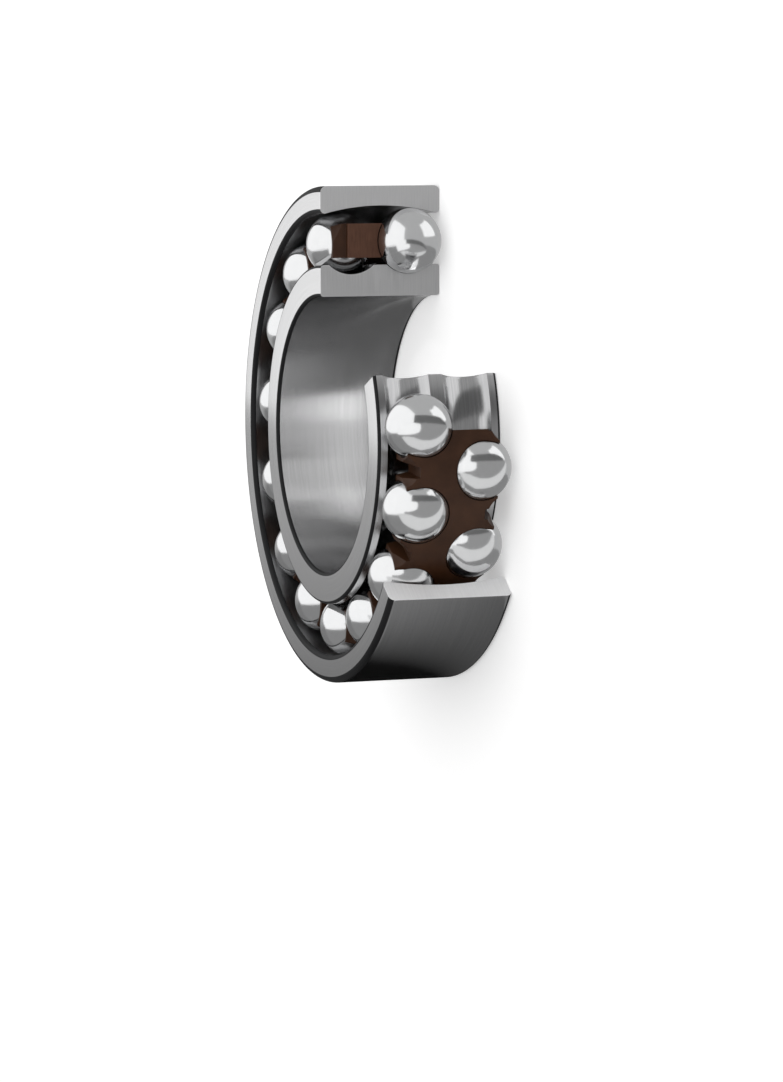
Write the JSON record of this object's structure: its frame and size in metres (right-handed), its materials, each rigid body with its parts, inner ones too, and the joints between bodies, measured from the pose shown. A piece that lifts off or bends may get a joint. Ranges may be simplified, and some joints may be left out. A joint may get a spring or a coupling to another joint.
{
  "type": "self-aligning ball bearing",
  "caption": "Self-aligning ball bearing with staggered ball rows on a spherical outer raceway and a moulded snap cage, cut away to show the inside.",
  "frame": {"origin": "bearing's centre: on the bore's axis at the middle of its width, which is the centre of the spherical raceway", "axes": "+Z along the bore's axis, out of the front face with the stepped cut-away; the bearing lies flat on its back face. +Y to 12 o'clock, where the cut-away starts, and +X to 3 o'clock"},
  "size_m": [0.0858, 0.09, 0.023],
  "materials": {
    "outer_ring": "hardened bearing steel, finely ground outside, polished raceway, brushed cut faces",
    "inner_ring": "hardened bearing steel, ground faces and bore, polished grooves, brushed cut faces",
    "cage": "dark brown moulded polyamide, semi-matt",
    "balls": "bearing steel, lapped to a mirror"
  },
  "bodies": {
    "outer_ring": {"outer_ring": "outer_ring"},
    "inner_ring": {"inner_ring": "inner_ring"},
    "cage": {"cage": "cage"},
    "ball_front_01": {"ball_front_01": "balls"},
    "ball_front_02": {"ball_front_02": "balls"},
    "ball_front_03": {"ball_front_03": "balls"},
    "ball_front_04": {"ball_front_04": "balls"},
    "ball_front_05": {"ball_front_05": "balls"},
    "ball_front_06": {"ball_front_06": "balls"},
    "ball_front_07": {"ball_front_07": "balls"},
    "ball_front_08": {"ball_front_08": "balls"},
    "ball_front_09": {"ball_front_09": "balls"},
    "ball_front_10": {"ball_front_10": "balls"},
    "ball_front_11": {"ball_front_11": "balls"},
    "ball_front_12": {"ball_front_12": "balls"},
    "ball_rear_01": {"ball_rear_01": "balls"},
    "ball_rear_02": {"ball_rear_02": "balls"},
    "ball_rear_03": {"ball_rear_03": "balls"},
    "ball_rear_04": {"ball_rear_04": "balls"},
    "ball_rear_05": {"ball_rear_05": "balls"},
    "ball_rear_06": {"ball_rear_06": "balls"},
    "ball_rear_07": {"ball_rear_07": "balls"},
    "ball_rear_08": {"ball_rear_08": "balls"},
    "ball_rear_09": {"ball_rear_09": "balls"},
    "ball_rear_10": {"ball_rear_10": "balls"},
    "ball_rear_11": {"ball_rear_11": "balls"},
    "ball_rear_12": {"ball_rear_12": "balls"}
  },
  "joints": [
    {"name": "cage_orbit", "type": "hinge", "parent": "outer_ring", "child": "ball_rear_06", "pos_m": [0, 0, 0], "axis": [0, 0, 1], "continuous": true},
    {"name": "self_align", "type": "hinge", "parent": "ball_rear_06", "child": "cage", "pos_m": [0, 0, 0], "axis": [-0.5807, -0.7992, -0.1552], "range_deg": [-2.5, 2.5]},
    {"name": "inner_spin", "type": "hinge", "parent": "cage", "child": "inner_ring", "pos_m": [0, 0, 0], "axis": [0, 0, 1], "continuous": true},
    {"name": "roll_front_01", "type": "hinge", "parent": "cage", "child": "ball_front_01", "pos_m": [0.03481, 0.00366, 0.0055], "axis": [-0.1544, -0.0162, 0.9879], "continuous": true},
    {"name": "roll_front_02", "type": "hinge", "parent": "cage", "child": "ball_front_02", "pos_m": [0.03329, -0.01082, 0.0055], "axis": [-0.1476, 0.048, 0.9879], "continuous": true},
    {"name": "roll_front_03", "type": "hinge", "parent": "cage", "child": "ball_front_03", "pos_m": [0.02601, -0.02342, 0.0055], "axis": [-0.1154, 0.1039, 0.9879], "continuous": true},
    {"name": "roll_front_04", "type": "hinge", "parent": "cage", "child": "ball_front_04", "pos_m": [0.01424, -0.03197, 0.0055], "axis": [-0.0631, 0.1418, 0.9879], "continuous": true},
    {"name": "roll_front_05", "type": "hinge", "parent": "cage", "child": "ball_front_05", "pos_m": [0, -0.035, 0.0055], "axis": [0, 0.1552, 0.9879], "continuous": true},
    {"name": "roll_front_06", "type": "hinge", "parent": "cage", "child": "ball_front_06", "pos_m": [-0.01424, -0.03197, 0.0055], "axis": [0.0631, 0.1418, 0.9879], "continuous": true},
    {"name": "roll_front_07", "type": "hinge", "parent": "cage", "child": "ball_front_07", "pos_m": [-0.02601, -0.02342, 0.0055], "axis": [0.1154, 0.1039, 0.9879], "continuous": true},
    {"name": "roll_front_08", "type": "hinge", "parent": "cage", "child": "ball_front_08", "pos_m": [-0.03329, -0.01082, 0.0055], "axis": [0.1476, 0.048, 0.9879], "continuous": true},
    {"name": "roll_front_09", "type": "hinge", "parent": "cage", "child": "ball_front_09", "pos_m": [-0.03481, 0.00366, 0.0055], "axis": [0.1544, -0.0162, 0.9879], "continuous": true},
    {"name": "roll_front_10", "type": "hinge", "parent": "cage", "child": "ball_front_10", "pos_m": [-0.03031, 0.0175, 0.0055], "axis": [0.1344, -0.0776, 0.9879], "continuous": true},
    {"name": "roll_front_11", "type": "hinge", "parent": "cage", "child": "ball_front_11", "pos_m": [-0.02057, 0.02832, 0.0055], "axis": [0.0912, -0.1256, 0.9879], "continuous": true},
    {"name": "roll_front_12", "type": "hinge", "parent": "cage", "child": "ball_front_12", "pos_m": [-0.00728, 0.03424, 0.0055], "axis": [0.0323, -0.1518, 0.9879], "continuous": true},
    {"name": "roll_rear_01", "type": "hinge", "parent": "cage", "child": "ball_rear_01", "pos_m": [0.03481, -0.00366, -0.0055], "axis": [0.1544, -0.0162, 0.9879], "continuous": true},
    {"name": "roll_rear_02", "type": "hinge", "parent": "cage", "child": "ball_rear_02", "pos_m": [0.03031, -0.0175, -0.0055], "axis": [0.1344, -0.0776, 0.9879], "continuous": true},
    {"name": "roll_rear_03", "type": "hinge", "parent": "cage", "child": "ball_rear_03", "pos_m": [0.02057, -0.02832, -0.0055], "axis": [0.0912, -0.1256, 0.9879], "continuous": true},
    {"name": "roll_rear_04", "type": "hinge", "parent": "cage", "child": "ball_rear_04", "pos_m": [0.00728, -0.03424, -0.0055], "axis": [0.0323, -0.1518, 0.9879], "continuous": true},
    {"name": "roll_rear_05", "type": "hinge", "parent": "cage", "child": "ball_rear_05", "pos_m": [-0.00728, -0.03424, -0.0055], "axis": [-0.0323, -0.1518, 0.9879], "continuous": true},
    {"name": "roll_rear_07", "type": "hinge", "parent": "cage", "child": "ball_rear_07", "pos_m": [-0.03031, -0.0175, -0.0055], "axis": [-0.1344, -0.0776, 0.9879], "continuous": true},
    {"name": "roll_rear_08", "type": "hinge", "parent": "cage", "child": "ball_rear_08", "pos_m": [-0.03481, -0.00366, -0.0055], "axis": [-0.1544, -0.0162, 0.9879], "continuous": true},
    {"name": "roll_rear_09", "type": "hinge", "parent": "cage", "child": "ball_rear_09", "pos_m": [-0.03329, 0.01082, -0.0055], "axis": [-0.1476, 0.048, 0.9879], "continuous": true},
    {"name": "roll_rear_10", "type": "hinge", "parent": "cage", "child": "ball_rear_10", "pos_m": [-0.02601, 0.02342, -0.0055], "axis": [-0.1154, 0.1039, 0.9879], "continuous": true},
    {"name": "roll_rear_11", "type": "hinge", "parent": "cage", "child": "ball_rear_11", "pos_m": [-0.01424, 0.03197, -0.0055], "axis": [-0.0631, 0.1418, 0.9879], "continuous": true},
    {"name": "roll_rear_12", "type": "hinge", "parent": "cage", "child": "ball_rear_12", "pos_m": [0, 0.035, -0.0055], "axis": [0, 0.1552, 0.9879], "continuous": true}
  ],
  "couplings": [
    {"joint": "cage_orbit", "follows": "inner_spin", "ratio": 0.71229},
    {"joint": "roll_front_01", "follows": "inner_spin", "ratio": -4.8915},
    {"joint": "roll_front_02", "follows": "inner_spin", "ratio": -4.8915},
    {"joint": "roll_front_03", "follows": "inner_spin", "ratio": -4.8915},
    {"joint": "roll_front_04", "follows": "inner_spin", "ratio": -4.8915},
    {"joint": "roll_front_05", "follows": "inner_spin", "ratio": -4.8915},
    {"joint": "roll_front_06", "follows": "inner_spin", "ratio": -4.8915},
    {"joint": "roll_front_07", "follows": "inner_spin", "ratio": -4.8915},
    {"joint": "roll_front_08", "follows": "inner_spin", "ratio": -4.8915},
    {"joint": "roll_front_09", "follows": "inner_spin", "ratio": -4.8915},
    {"joint": "roll_front_10", "follows": "inner_spin", "ratio": -4.8915},
    {"joint": "roll_front_11", "follows": "inner_spin", "ratio": -4.8915},
    {"joint": "roll_front_12", "follows": "inner_spin", "ratio": -4.8915},
    {"joint": "roll_rear_01", "follows": "inner_spin", "ratio": -4.8915},
    {"joint": "roll_rear_02", "follows": "inner_spin", "ratio": -4.8915},
    {"joint": "roll_rear_03", "follows": "inner_spin", "ratio": -4.8915},
    {"joint": "roll_rear_04", "follows": "inner_spin", "ratio": -4.8915},
    {"joint": "roll_rear_05", "follows": "inner_spin", "ratio": -4.8915},
    {"joint": "roll_rear_07", "follows": "inner_spin", "ratio": -4.8915},
    {"joint": "roll_rear_08", "follows": "inner_spin", "ratio": -4.8915},
    {"joint": "roll_rear_09", "follows": "inner_spin", "ratio": -4.8915},
    {"joint": "roll_rear_10", "follows": "inner_spin", "ratio": -4.8915},
    {"joint": "roll_rear_11", "follows": "inner_spin", "ratio": -4.8915},
    {"joint": "roll_rear_12", "follows": "inner_spin", "ratio": -4.8915}
  ]
}
